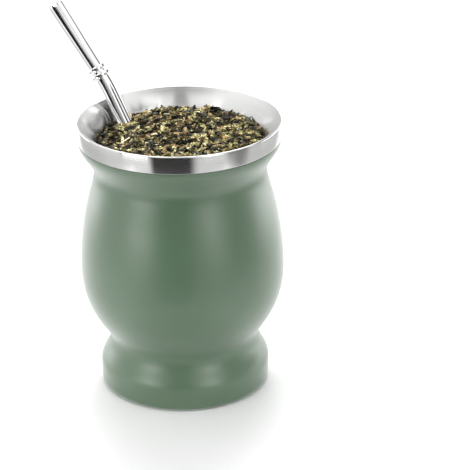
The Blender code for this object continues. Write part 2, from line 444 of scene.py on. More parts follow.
def shades(colour: Colour, spread: float) -> tuple[Colour, Colour]:
    """Returns a colour made darker and made lighter by a share of it."""
    return tuple(c * (1.0 - spread) for c in colour), tuple(c * (1.0 + spread) for c in colour)


@dataclass(frozen=True)
class SatinCoat:
    """A fine powder coat: even colour with a barely uneven skin."""

    colour: Colour = (0.069, 0.127, 0.070)
    roughness: float = 0.38
    uneven: float = 0.03
    clear: float = 0.3
    clear_roughness: float = 0.40
    sheen: float = 0.8
    sheen_roughness: float = 0.35
    grain: float = 0.00045
    grain_height: float = 0.000012
    cloud_scale: float = 60.0
    cloud_shade: float = 0.04

    def build(self) -> Finish:
        """Builds the coat's material.

        Returns:
            The material.
        """
        sheet = ShaderSheet(
            "sage_satin_coat", Metallic=0.0, IOR=1.6, Coat_Weight=self.clear,
            Coat_Roughness=self.clear_roughness, Sheen_Weight=self.sheen,
            Sheen_Roughness=self.sheen_roughness,
        )
        cloud = sheet.noise(sheet.place, self.cloud_scale, detail=3.0)
        skin = sheet.noise(sheet.place, 1.0 / self.grain)
        dark, light = shades(self.colour, self.cloud_shade)
        dullness = (self.roughness - self.uneven, self.roughness + self.uneven)
        return sheet.feed(
            Base_Color=sheet.ramp(cloud, [(0.35, dark), (0.65, light)]),
            Roughness=sheet.remap(skin, (0.0, 1.0), dullness),
            Normal=sheet.bump(skin, self.grain_height),
        )


@dataclass(frozen=True)
class BrushedSteel:
    """Bare stainless steel, brushed round the axis, so that it spreads light up and down.

    The rim band, outside the outer radius, is a little shinier than the funnel.
    """

    colour: Colour = (0.63, 0.63, 0.62)
    inner_roughness: float = 0.17
    outer_roughness: float = 0.12
    outer_radius: float = 0.0396
    radius_blend: float = 0.0006
    uneven: float = 0.02
    spread: float = 1.0
    spread_turn: float = 0.25
    hair_width: float = 0.00012
    hair_length: float = 0.012
    hair_height: float = 0.000001
    hair_shade: float = 0.03
    band_scale: float = 0.12

    def build(self) -> Finish:
        """Builds the brushed material, which follows the piece's own UV map.

        Returns:
            The material.
        """
        sheet = ShaderSheet("brushed_stainless", Metallic=1.0, Anisotropic=self.spread,
                            Anisotropic_Rotation=self.spread_turn)
        surface = sheet.add("ShaderNodeUVMap", uv_map=UV_NAME).outputs["UV"]
        stretch = sheet.add("ShaderNodeMapping", {
            "Vector": surface, "Scale": (1.0 / self.hair_length, 1.0 / self.hair_width, 1.0),
        }).outputs["Vector"]
        fine = sheet.noise(stretch, 1.0, detail=3.0)
        coarse = sheet.noise(stretch, self.band_scale)
        hairs = sheet.math("MULTIPLY", sheet.math("ADD", fine, coarse), 0.5)
        dark, light = shades(self.colour, self.hair_shade)
        flat = sheet.vector_math("MULTIPLY", sheet.place, (1.0, 1.0, 0.0))
        radius = sheet.vector_math("LENGTH", flat, output="Value")
        base = sheet.remap(radius, (self.outer_radius - self.radius_blend, self.outer_radius),
                           (self.inner_roughness, self.outer_roughness))
        dull = sheet.remap(hairs, (0.3, 0.7), (-self.uneven, self.uneven))
        tangent = sheet.add("ShaderNodeTangent", direction_type="UV_MAP", uv_map=UV_NAME)
        return sheet.feed(
            Base_Color=sheet.ramp(hairs, [(0.35, dark), (0.65, light)]),
            Roughness=sheet.math("ADD", base, dull),
            Normal=sheet.bump(hairs, self.hair_height),
            Tangent=tangent.outputs["Tangent"],
        )


@dataclass(frozen=True)
class PolishedSteel:
    """Drawn and polished steel tube, with faint marks on it."""

    colour: Colour = (0.82, 0.82, 0.82)
    roughness: float = 0.07
    cloud_size: float = 0.004
    cloud_shade: float = 0.05

    def build(self) -> Finish:
        """Builds the polished material.

        Returns:
            The material.
        """
        sheet = ShaderSheet("polished_stainless", Metallic=1.0)
        cloud = sheet.noise(sheet.place, 1.0 / self.cloud_size, detail=4.0)
        dark = shades(self.colour, self.cloud_shade)[0]
        return sheet.feed(
            Base_Color=sheet.ramp(cloud, [(0.3, dark), (0.7, self.colour)]),
            Roughness=sheet.remap(cloud, (0.3, 0.7), (self.roughness - 0.02, self.roughness + 0.04)),
        )


@dataclass(frozen=True)
class DryLeaf:
    """Dry curled leaf: each leaf has its own tone, with painted shade in its wrinkles' hollows and painted
    highlight on their backs, and painted shade on the deep leaves that lie between the others.

    Attributes:
        name: The material's name.
        tones: Colours from the darkest leaf to the lightest.
        roughness: How dull the leaf is.
        gloss: How much of a plain gloss it has.
        gloss_tint: The gloss's colour.
        clump: The size of a clump of lighter or darker leaves.
        clump_shade: How much a clump shifts the tone.
        blotch: The size of a blotch on a leaf.
        blotch_shade: How much a blotch shifts the tone.
        wrinkle: The size of a wrinkle.
        wrinkle_height: How high a wrinkle stands.
        wrinkle_painted_light: How dark the painted shade at a wrinkle's foot is, and how light the painted
            highlight on its back.
        deep: The height at and below which the painted shade between the leaves is darkest.
        open: The height above which they have their full colour, with no painted shade.
        deep_painted_shade: How much of the colour the deep leaves keep under the painted shade between the
            leaves.
    """

    name: str
    tones: tuple[Colour, ...]
    roughness: float = 0.42
    gloss: float = 0.14
    gloss_tint: Colour = (1.0, 0.84, 0.60)
    clump: float = 0.0045
    clump_shade: float = 0.34
    blotch: float = 0.0011
    blotch_shade: float = 0.22
    wrinkle: float = 0.00050
    wrinkle_height: float = 0.00012
    wrinkle_painted_light: Pair = (0.08, 2.10)
    deep: float = 0.1028
    open: float = 0.1053
    deep_painted_shade: float = 0.03

    def build(self) -> Finish:
        """Builds the leaf material, which reads the tone that each leaf carries.

        Returns:
            The material.
        """
        sheet = ShaderSheet(self.name, Metallic=0.0, Specular_IOR_Level=self.gloss,
                            Specular_Tint=(*self.gloss_tint, 1.0))
        carried = sheet.add("ShaderNodeAttribute", attribute_name=TONE_NAME, attribute_type="GEOMETRY")
        blotch = sheet.noise(sheet.place, 1.0 / self.blotch, detail=3.0)
        clump = sheet.noise(sheet.place, 1.0 / self.clump, detail=1.0)
        wrinkle = sheet.noise(sheet.place, 1.0 / self.wrinkle)
        group = sheet.remap(clump, (0.35, 0.65), (-self.clump_shade, self.clump_shade))
        drift = sheet.remap(blotch, (0.3, 0.7), (-self.blotch_shade, self.blotch_shade))
        mixed = sheet.math("ADD", sheet.math("ADD", carried.outputs["Fac"], group), drift, clamp=True)
        steps = len(self.tones) - 1
        colour = sheet.ramp(mixed, [(i / steps, c) for i, c in enumerate(self.tones)])
        # Painted shade between the leaves: lower leaves keep less of their colour, down to the least at the
        # deep height.
        height = sheet.add("ShaderNodeSeparateXYZ", {"Vector": sheet.place}).outputs["Z"]
        painted_depth_shade = sheet.remap(height, (self.deep, self.open), (self.deep_painted_shade, 1.0))
        # Painted shade in the wrinkles' hollows and painted highlight on their backs, times the painted shade
        # between the leaves.
        shade = sheet.math("MULTIPLY", sheet.remap(wrinkle, (0.34, 0.66), self.wrinkle_painted_light), painted_depth_shade)
        return sheet.feed(
            Base_Color=sheet.blend(1.0, colour, shade, blend_type="MULTIPLY"),
            Roughness=sheet.remap(blotch, (0.0, 1.0), (self.roughness - 0.1, self.roughness + 0.1)),
            Normal=sheet.bump(wrinkle, self.wrinkle_height),
        )


@dataclass(frozen=True)
class Cup:
    """The cup's shared sizes: what its two walls and the tea are worked out from."""

    height: float = 0.1110
    rim_radius: float = 0.0400
    band_height: float = 0.0070
    wall: float = 0.0008
    lip_round: float = 0.0006
    lip_turn: float = 135.0
    base_radius: float = 0.0311
    base_corner: float = 0.0027
    base_corner_turn: float = 80.0
    body_stations: tuple[Pair, ...] = (
        (0.03385, 0.0060), (0.03380, 0.0101), (0.03130, 0.0156), (0.02997, 0.0211), (0.03263, 0.0263),
        (0.03712, 0.0339), (0.04009, 0.0440), (0.04052, 0.0536), (0.03949, 0.0661), (0.03730, 0.0775),
        (0.03496, 0.0861), (0.03444, 0.0929), (0.03587, 0.0959), (0.03822, 0.0994), (0.03986, 0.1030),
    )
    liner_floor: float = 0.0240
    liner_floor_radius: float = 0.0225
    liner_corner: float = 0.0080
    liner_corner_turn: float = 55.0
    liner_stations: tuple[Pair, ...] = (
        (0.03220, 0.0320), (0.03580, 0.0410), (0.03690, 0.0500), (0.03660, 0.0570), (0.03560, 0.0660),
        (0.03380, 0.0760), (0.03160, 0.0850), (0.03060, 0.0930), (0.03090, 0.0980), (0.03170, 0.1018),
        (0.03305, 0.1047), (0.03470, 0.1069), (0.03670, 0.1090),
    )

    @property
    def band_bottom(self) -> float:
        """The height of the rim band's lower edge."""
        return self.height - self.band_height

    def lip(self) -> Profile:
        """Returns the rounded lip, from the funnel side over the top to the band's face."""
        centre = (self.rim_radius - self.lip_round, self.height - self.lip_round)
        return Profile.arc(centre, self.lip_round, self.lip_turn, 0.0, steps=16)

    def body_outline(self) -> Profile:
        """Draws the outer outline.

        Returns:
            The outline, from the base to the rim band.
        """
        centre = (self.base_radius, self.base_corner)
        corner = Profile.arc(centre, self.base_corner, -90.0, self.base_corner_turn - 90.0)
        knots = [tuple(corner.points[-1]), *self.body_stations, (self.rim_radius, self.band_bottom)]
        return corner.then(Profile.through(knots, samples=150))

    def liner_outline(self) -> Profile:
        """Draws the liner's inner outline.

        Returns:
            The outline, from the floor to the lip.
        """
        centre = (self.liner_floor_radius, self.liner_floor + self.liner_corner)
        corner = Profile.arc(centre, self.liner_corner, -90.0, self.liner_corner_turn - 90.0)
        knots = [tuple(corner.points[-1]), *self.liner_stations, tuple(self.lip().points[0])]
        return corner.then(Profile.through(knots, samples=120))


@dataclass
class CoatedBody:
    """The cup's outer wall."""

    cup: Cup
    coat: SatinCoat = SatinCoat()
    segments: int = 192
    top_gap: float = 0.00006
    top_round: float = 0.00025

    def build(self) -> Piece:
        """Builds the coated wall.

        Returns:
            The wall as one closed shell.
        """
        top = self.cup.band_bottom - self.top_gap
        outside = self.cup.body_outline()
        inside = outside.shifted(self.cup.wall).below(top)
        centre = (self.cup.rim_radius - self.top_round, top - self.top_round)
        edge = Profile.arc(centre, self.top_round, 90.0, 0.0, 6)
        outline = np.concatenate([
            [(0.0, self.cup.wall)],
            inside.points,
            edge.points,
            outside.below(top - 2.0 * self.top_round).points[::-1],
            [(0.0, 0.0)],
        ])
        mesh = turned_mesh("coated_wall", outline, self.segments)
        return hand_over(add_piece("coated_wall", mesh, self.coat.build()), "coated_body")


@dataclass
class SteelLiner:
    """The bare steel liner with its funnel, lip and rim band."""

    cup: Cup
    steel: BrushedSteel = BrushedSteel()
    segments: int = 192
    under_lip_depth: float = 0.0014
    band_round: float = 0.00025

    def build(self) -> Piece:
        """Builds the liner.

        Returns:
            The liner as one closed turned shell.
        """
        cup = self.cup
        inside = cup.liner_outline()
        under_lip = cup.height - self.under_lip_depth
        band_inside = cup.rim_radius - cup.wall
        centre = (cup.rim_radius - self.band_round, cup.band_bottom + self.band_round)
        corner = Profile.arc(centre, self.band_round, 0.0, -90.0, 6)
        outline = np.concatenate([
            [(0.0, cup.liner_floor)],
            inside.points[:-1],
            cup.lip().points,
            corner.points,
            [(band_inside, cup.band_bottom), (band_inside, under_lip)],
            inside.shifted(-cup.wall).below(under_lip).points[::-1],
            [(0.0, cup.liner_floor - cup.wall)],
        ])
        mesh = turned_mesh("steel_funnel_and_rim", outline, self.segments)
        piece = add_piece("steel_funnel_and_rim", mesh, self.steel.build(), sharp=35.0)
        return hand_over(piece, "steel_liner")


@dataclass(frozen=True)
class TubePath:
    """The drinking tube's middle line and section sizes, counted upwards from where it leaves the tea."""

    entry: tuple[float, float, float] = (-0.0221, 0.0153, 0.1050)
    lower_lean: float = 37.7
    lower_heading: float = 47.5
    upper_lean: float = 42.7
    upper_heading: float = 39.0
    bend_start: float = 0.0123
    bend_end: float = 0.0203
    hidden_length: float = 0.0860
    top: float = 0.0551
    lower_ring: float = 0.0206
    upper_ring: float = 0.0236
    lower_radius: float = 0.00293
    upper_radius: float = 0.00275
    mouth_half_width: float = 0.0031
    mouth_half_thickness: float = 0.0023

    def direction(self, place: float) -> Vector:
        """Works out which way the tube points.

        Args:
            place: Where along the tube.

        Returns:
            The unit direction there, towards the mouth end.
        """
        share = min(max((place - self.bend_start) / (self.bend_end - self.bend_start), 0.0), 1.0)
        lean = math.radians(self.lower_lean + (self.upper_lean - self.lower_lean) * share)
        heading = math.radians(self.lower_heading + (self.upper_heading - self.lower_heading) * share)
        reach = math.sin(lean)
        return Vector((-reach * math.cos(heading), reach * math.sin(heading), math.cos(lean)))

    def point(self, place: float, steps: int = 60) -> Vector:
        """Follows the tube's middle line from where it leaves the tea.

        Args:
            place: Where along the tube.
            steps: How many straight steps the way there is split into.

        Returns:
            The middle of the tube there.
        """
        point = Vector(self.entry)
        step = place / steps
        for i in range(steps):
            point += self.direction((i + 0.5) * step) * step
        return point

    def half_sizes(self, place: float) -> Pair:
        """Works out how large the tube is.

        Args:
            place: Where along the tube.

        Returns:
            Its half width and its half thickness there.
        """
        share = min(max((place - self.lower_ring) / (self.upper_ring - self.lower_ring), 0.0), 1.0)
        radius = self.lower_radius + (self.upper_radius - self.lower_radius) * share
        flat = smooth_share((place - self.upper_ring) / (self.top - self.upper_ring))
        return (radius + (self.mouth_half_width - self.upper_radius) * flat,
                radius + (self.mouth_half_thickness - self.upper_radius) * flat)

    def section(self, place: float, extra: float, sides: int) -> list[Vector]:
        """Returns one ring of points across the tube.

        Args:
            place: Where along the tube.
            extra: How much wider than the outer wall, or narrower if negative.
            sides: How many points.

        Returns:
            The points in order.
        """
        direction = self.direction(place)
        face = (Vector((0.0, -1.0, 0.0)) - direction * -direction.y).normalized()
        across = direction.cross(face)
        half_width, half_thickness = self.half_sizes(place)
        centre = self.point(place)
        angles = [math.tau * i / sides for i in range(sides)]
        wide = half_width + extra
        thick = half_thickness + extra
        return [centre + across * wide * math.cos(a) + face * thick * math.sin(a) for a in angles]


@dataclass
class DrinkingTube:
    """The polished tube with its two collars."""

    path: TubePath
    steel: PolishedSteel = PolishedSteel()
    wall: float = 0.0005
    sides: int = 64
    straight_steps: int = 8
    bend_steps: int = 16
    mouth_steps: int = 24
    ring_width: float = 0.0018
    ring_round: float = 0.0005
    ring_radii: Pair = (0.00405, 0.00380)
    ring_segments: int = 96

    def rows(self) -> list[Pair]:
        """Lists the rings of points, up the outside, over the rim and down the bore.

        Returns:
            Each ring's place along the tube, and how much wider than the outer wall it is.
        """
        path = self.path
        half = self.wall / 2.0
        places = [
            *np.linspace(-path.hidden_length, path.bend_start, self.straight_steps)[:-1],
            *np.linspace(path.bend_start, path.bend_end, self.bend_steps)[:-1],
            *np.linspace(path.bend_end, path.top - half, self.mouth_steps),
        ]
        outside = [(place, 0.0) for place in places]
        rim = [(path.top - half + half * math.sin(a), half * math.cos(a) - half)
               for a in np.radians(np.linspace(22.5, 157.5, 7))]
        inside = [(place, -self.wall) for place in reversed(places)]
        return outside + rim + inside

    def tube_mesh(self) -> Mesh:
        """Builds the tube's wall, with its bore open at both ends.

        Returns:
            The wall as one closed mesh.
        """
        shape = bmesh.new()
        rings = [[shape.verts.new(p) for p in self.path.section(place, extra, self.sides)]
                 for place, extra in self.rows()]
        for low, high in zip(rings, rings[1:] + rings[:1]):
            for i in range(self.sides):
                j = (i + 1) % self.sides
                shape.faces.new((low[i], low[j], high[j], high[i]))
        return closed_mesh(shape, "polished_tube")

    def collar_mesh(self, name: str, place: float, outer_radius: float) -> Mesh:
        """Returns one rounded collar that sits tight on the tube.

        Args:
            name: The mesh's name.
            place: Where along the tube its middle is.
            outer_radius: Its outer radius.

        Returns:
            The collar's mesh, in place.
        """
        half = self.ring_width / 2.0
        seat = self.path.half_sizes(place + half)[0] - self.wall / 4.0
        middle = outer_radius - self.ring_round
        upper = Profile.arc((middle, half - self.ring_round), self.ring_round, 90.0, 0.0, 8)
        lower = Profile.arc((middle, self.ring_round - half), self.ring_round, 0.0, -90.0, 8)
        outline = np.concatenate([[(seat, half)], upper.points, lower.points, [(seat, -half), (seat, half)]])
        turn = Vector((0.0, 0.0, 1.0)).rotation_difference(self.path.direction(place))
        placing = Matrix.Translation(self.path.point(place)) @ turn.to_matrix().to_4x4()
        return turned_mesh(name, outline, self.ring_segments, placing)

    def build(self) -> list[Piece]:
        """Builds the tube and its two collars.

        Returns:
            The three pieces.
        """
        finish = self.steel.build()
        tube = add_piece("polished_tube", self.tube_mesh(), finish)
        pieces = [hand_over(tube, "drinking_tube")]
        places = (self.path.lower_ring, self.path.upper_ring)
        for node, place, radius in zip(("lower_tube_ring", "upper_tube_ring"), places, self.ring_radii):
            name = node.replace("tube_ring", "collar")
            collar = add_piece(name, self.collar_mesh(name, place, radius), finish)
            pieces.append(hand_over(collar, node))
        return pieces


@dataclass(frozen=True)
class LeafForm:
    """How one single leaf has dried, with its angles in radians.

    Attributes:
        length: End to end, before it bends.
        width: Across the flat strip, before it rolls.
        roll: How far it rolls across.
        bend: How far it bends sideways.
        lift: How far it bends upwards.
        twist: How far it twists.
        lean: How much wider the far end is than the near one.
        ripple: Two phases that make each leaf its own.
        thickness: Of the strip.
    """

    length: float
    width: float
    roll: float
    bend: float
    lift: float
    twist: float
    lean: float
    ripple: np.ndarray
    thickness: float

    def taper(self, t: float) -> float:
        """Returns how wide the leaf is at a place along it, as a share of its width."""
        wave = 0.15 * math.sin(9.0 * t + self.ripple[0])
        return math.sin(math.pi * t) ** 0.55 * (1.0 + self.lean * (t - 0.5) + wave)

    def point(self, u: float, side: float, t: float, taper: float) -> tuple[float, float, float]:
        """Works out a point of the leaf.

        Args:
            u: Place across the strip, from -1 to 1.
            side: 1 on its outer face and -1 on its inner face.
            t: Place along it, from 0 to 1.
            taper: How wide it is there, as a share of its width.

        Returns:
            The point.
        """
        radius = self.width / max(self.roll, 0.1)
        angle = u * self.roll / 2.0
        reach = (radius + side * self.thickness / 2.0) * taper
        half_roll = self.roll / 2.0
        y = reach * math.sin(angle)
        z = reach * math.cos(angle) - radius * taper * math.sin(half_roll) / max(half_roll, 0.05)
        turn = self.twist * (t - 0.5) + 0.25 * math.sin(7.0 * t + self.ripple[1])
        y, z = y * math.cos(turn) - z * math.sin(turn), y * math.sin(turn) + z * math.cos(turn)
        along = t - 0.5
        curve = self.bend * self.bend + self.lift * self.lift
        x = self.length * along * (1.0 - curve * along * along / 6.0)
        return (x, y + self.length * self.bend * (along * along - 1.0 / 12.0) / 2.0,
                z + self.length * self.lift * (along * along - 1.0 / 12.0) / 2.0)


@dataclass(frozen=True)
class LeafShape:
    """One kind of dry leaf: a strip that has rolled up, bent and twisted as it dried.

    Attributes:
        length: End to end, before it bends.
        width: Across the flat strip, before it rolls.
        thickness: Of the strip.
        roll: How far the strip has rolled up across, in degrees.
        bend: How far it bends along its length, in degrees.
        twist: How far it twists along its length, in degrees.
        crumple: How far its points are out of place.
        stations: How many stretches the leaf has along it.
        across: How many points each face has across it.
    """

    length: float
    width: float
    thickness: float
    roll: float
    bend: float
    twist: float
    crumple: float = 0.00007
    stations: int = 7
    across: int = 4

    def form(self, draw: np.random.Generator) -> LeafForm:
        """Draws one leaf's own form, in a fixed order of random numbers.

        Args:
            draw: What the random numbers come from.

        Returns:
            The form.
        """
        return LeafForm(
            length=self.length * draw.uniform(0.85, 1.15),
            width=self.width * draw.uniform(0.85, 1.15),
            roll=math.radians(self.roll * draw.uniform(0.8, 1.15)),
            bend=math.radians(self.bend * draw.uniform(-1.0, 1.0)),
            lift=math.radians(self.bend * draw.uniform(-0.6, 0.6)),
            twist=math.radians(self.twist * draw.uniform(-1.0, 1.0)),
            lean=draw.uniform(-0.25, 0.25),
            ripple=draw.uniform(0.0, math.tau, 2),
            thickness=self.thickness,
        )

    def mesh(self, name: str, seed: int) -> Mesh:
        """Makes one leaf, slightly different for each seed.

        Args:
            name: The mesh's name.
            seed: Which leaf of this kind.

        Returns:
            The leaf as a closed mesh, centred at the origin and lying along X.
        """
        draw = np.random.default_rng(seed)
        form = self.form(draw)
        shape = bmesh.new()
        rings: list[list[bmesh.types.BMVert]] = []
        for row in range(1, self.stations):
            t = row / self.stations
            taper = form.taper(t)
            rings.append([shape.verts.new(form.point(u, side, t, taper)) for u, side in self._rim()])
        tips = [shape.verts.new(form.point(0.0, 0.0, t, 0.0)) for t in (0.0, 1.0)]
        for vertex in shape.verts:
            vertex.co += Vector(draw.normal(0.0, self.crumple, 3))
        count = len(rings[0])
        for low, high in zip(rings, rings[1:]):
            for i in range(count):
                shape.faces.new((low[i], low[(i + 1) % count], high[(i + 1) % count], high[i]))
        for i in range(count):
            shape.faces.new((tips[0], rings[0][(i + 1) % count], rings[0][i]))
            shape.faces.new((tips[1], rings[-1][i], rings[-1][(i + 1) % count]))
        made = closed_mesh(shape, name)
        made.shade_smooth()
        return made

    def _rim(self) -> list[Pair]:
        """Lists where a section's points lie.

        Returns:
            Each point's place across the strip, from -1 to 1, and which face of it, 1 or -1.
        """
        spread = np.linspace(-1.0, 1.0, self.across)
        upper = [(float(u), 1.0) for u in spread]
        lower = [(float(u), -1.0) for u in spread[::-1]]
        return upper + lower


@dataclass(frozen=True)
class LeafLayer:
    """One scatter of leaves over the tea.

    Attributes:
        name: The piece's name.
        shapes: The leaf shapes in it.
        finish: The leaves' material.
        count: About how many leaves.
        seed: Which scatter.
        sizes: Smallest and largest scale.
        lifts: Lowest and highest place over the tea's level.
        tilt: The most that a leaf tips.
        variants: How many meshes each shape gives.
    """

    name: str
    shapes: tuple[LeafShape, ...]
    finish: DryLeaf
    count: int
    seed: int
    sizes: Pair = (0.65, 1.25)
    lifts: Pair = (-0.0026, 0.0008)
    tilt: float = 30.0
    variants: int = 5


class LeafScatter:
    """The geometry node tree that lays a layer of leaves over a patch."""

    SEED_STEP = 101
    SOCKETS = (
        ("Density", "NodeSocketFloat"),
        ("Seed", "NodeSocketInt"),
        ("Smallest", "NodeSocketFloat"),
        ("Largest", "NodeSocketFloat"),
        ("Lowest", "NodeSocketFloat"),
        ("Highest", "NodeSocketFloat"),
        ("Tilt", "NodeSocketFloat"),
        ("Clear Centre", "NodeSocketVector"),
        ("Clear Radius", "NodeSocketFloat"),
        ("Leaves", "NodeSocketCollection"),
        ("Finish", "NodeSocketMaterial"),
    )

    def __init__(self) -> None:
        """Builds the tree, with a named input for each size."""
        self.tree = bpy.data.node_groups.new("leaf_scatter", "GeometryNodeTree")
        face = self.tree.interface
        face.new_socket("Geometry", in_out="INPUT", socket_type="NodeSocketGeometry")
        face.new_socket("Geometry", in_out="OUTPUT", socket_type="NodeSocketGeometry")
        self.keys = {name: face.new_socket(name, in_out="INPUT", socket_type=kind).identifier
                     for name, kind in self.SOCKETS}
        sheet = NodeSheet(self.tree)
        given = sheet.add("NodeGroupInput").outputs
        points = sheet.add("GeometryNodeDistributePointsOnFaces", {
            "Mesh": given["Geometry"], "Density": given["Density"], "Seed": given["Seed"],
        }, distribute_method="RANDOM")
        spot = sheet.add("GeometryNodeInputPosition").outputs["Position"]
        flat = sheet.vector_math("MULTIPLY", spot, (1.0, 1.0, 0.0))
        gap = sheet.vector_math("DISTANCE", flat, given["Clear Centre"], output="Value")
        near = sheet.add("FunctionNodeCompare", {0: gap, 1: given["Clear Radius"]},
                         data_type="FLOAT", operation="LESS_THAN")
        kept = sheet.add("GeometryNodeDeleteGeometry", {
            "Geometry": points.outputs["Points"], "Selection": near.outputs["Result"],
        }, domain="POINT")
        lift = self._random(sheet, given["Lowest"], given["Highest"], given["Seed"])
        offset = sheet.add("ShaderNodeCombineXYZ", {"Z": lift})
        lifted = sheet.add("GeometryNodeSetPosition", {
            "Geometry": kept.outputs["Geometry"], "Offset": offset.outputs["Vector"],
        })
        leaves = sheet.add("GeometryNodeCollectionInfo", {
            "Collection": given["Leaves"], "Separate Children": True, "Reset Children": True,
        })
        low_tilt = sheet.math("MULTIPLY", given["Tilt"], -1.0)
        tip_x = self._random(sheet, low_tilt, given["Tilt"], given["Seed"], shift=1)
        tip_y = self._random(sheet, low_tilt, given["Tilt"], given["Seed"], shift=2)
        yaw = self._random(sheet, 0.0, math.tau, given["Seed"], shift=3)
        euler = sheet.add("ShaderNodeCombineXYZ", {"X": tip_x, "Y": tip_y, "Z": yaw})
        turn = sheet.add("FunctionNodeEulerToRotation", {"Euler": euler.outputs["Vector"]})
        size = self._random(sheet, given["Smallest"], given["Largest"], given["Seed"], shift=4)
        placed = sheet.add("GeometryNodeInstanceOnPoints", {
            "Points": lifted.outputs["Geometry"], "Instance": leaves.outputs["Instances"],
            "Pick Instance": True, "Rotation": turn.outputs["Rotation"], "Scale": size,
        })
        tone = self._random(sheet, 0.0, 1.0, given["Seed"], shift=5)
        toned = sheet.add("GeometryNodeStoreNamedAttribute", {
            "Geometry": placed.outputs["Instances"], "Name": TONE_NAME, "Value": tone,
        }, data_type="FLOAT", domain="INSTANCE")
        real = sheet.add("GeometryNodeRealizeInstances", {"Geometry": toned.outputs["Geometry"]})
        painted = sheet.add("GeometryNodeSetMaterial", {
            "Geometry": real.outputs["Geometry"], "Material": given["Finish"],
        })
        sheet.add("NodeGroupOutput", {"Geometry": painted.outputs["Geometry"]})

    def _random(self, sheet: NodeSheet, low: object, high: object, seed: Socket, shift: int = 0) -> Socket:
        """Adds a random number for each point.

        Args:
            sheet: The tree's sheet.
            low: The lowest value, or what gives it.
            high: The highest value, or what gives it.
            seed: The scatter's seed.
            shift: What tells this number from the others.

        Returns:
            The number's socket.
        """
        own_seed = sheet.math("ADD", seed, float(self.SEED_STEP * shift))
        made = sheet.add("FunctionNodeRandomValue", {2: low, 3: high, "Seed": own_seed}, data_type="FLOAT")
        return made.outputs[1]

    def run(self, name: str, patch: Mesh, values: dict[str, object]) -> Mesh:
        """Lays leaves over a patch and returns them as one plain mesh.

        Args:
            name: The mesh's name.
            patch: The surface that the leaves lie on.
            values: The tree's inputs by name.

        Returns:
            The leaves' mesh.
        """
        carrier = linked(name, patch)
        modifier = carrier.modifiers.new("scatter", "NODES")
        modifier.node_group = self.tree
        for key, value in values.items():
            modifier[self.keys[key]] = value
        graph = bpy.context.evaluated_depsgraph_get()
        mesh = bpy.data.meshes.new_from_object(carrier.evaluated_get(graph))
        mesh.name = name
        bpy.data.objects.remove(carrier)
        return mesh


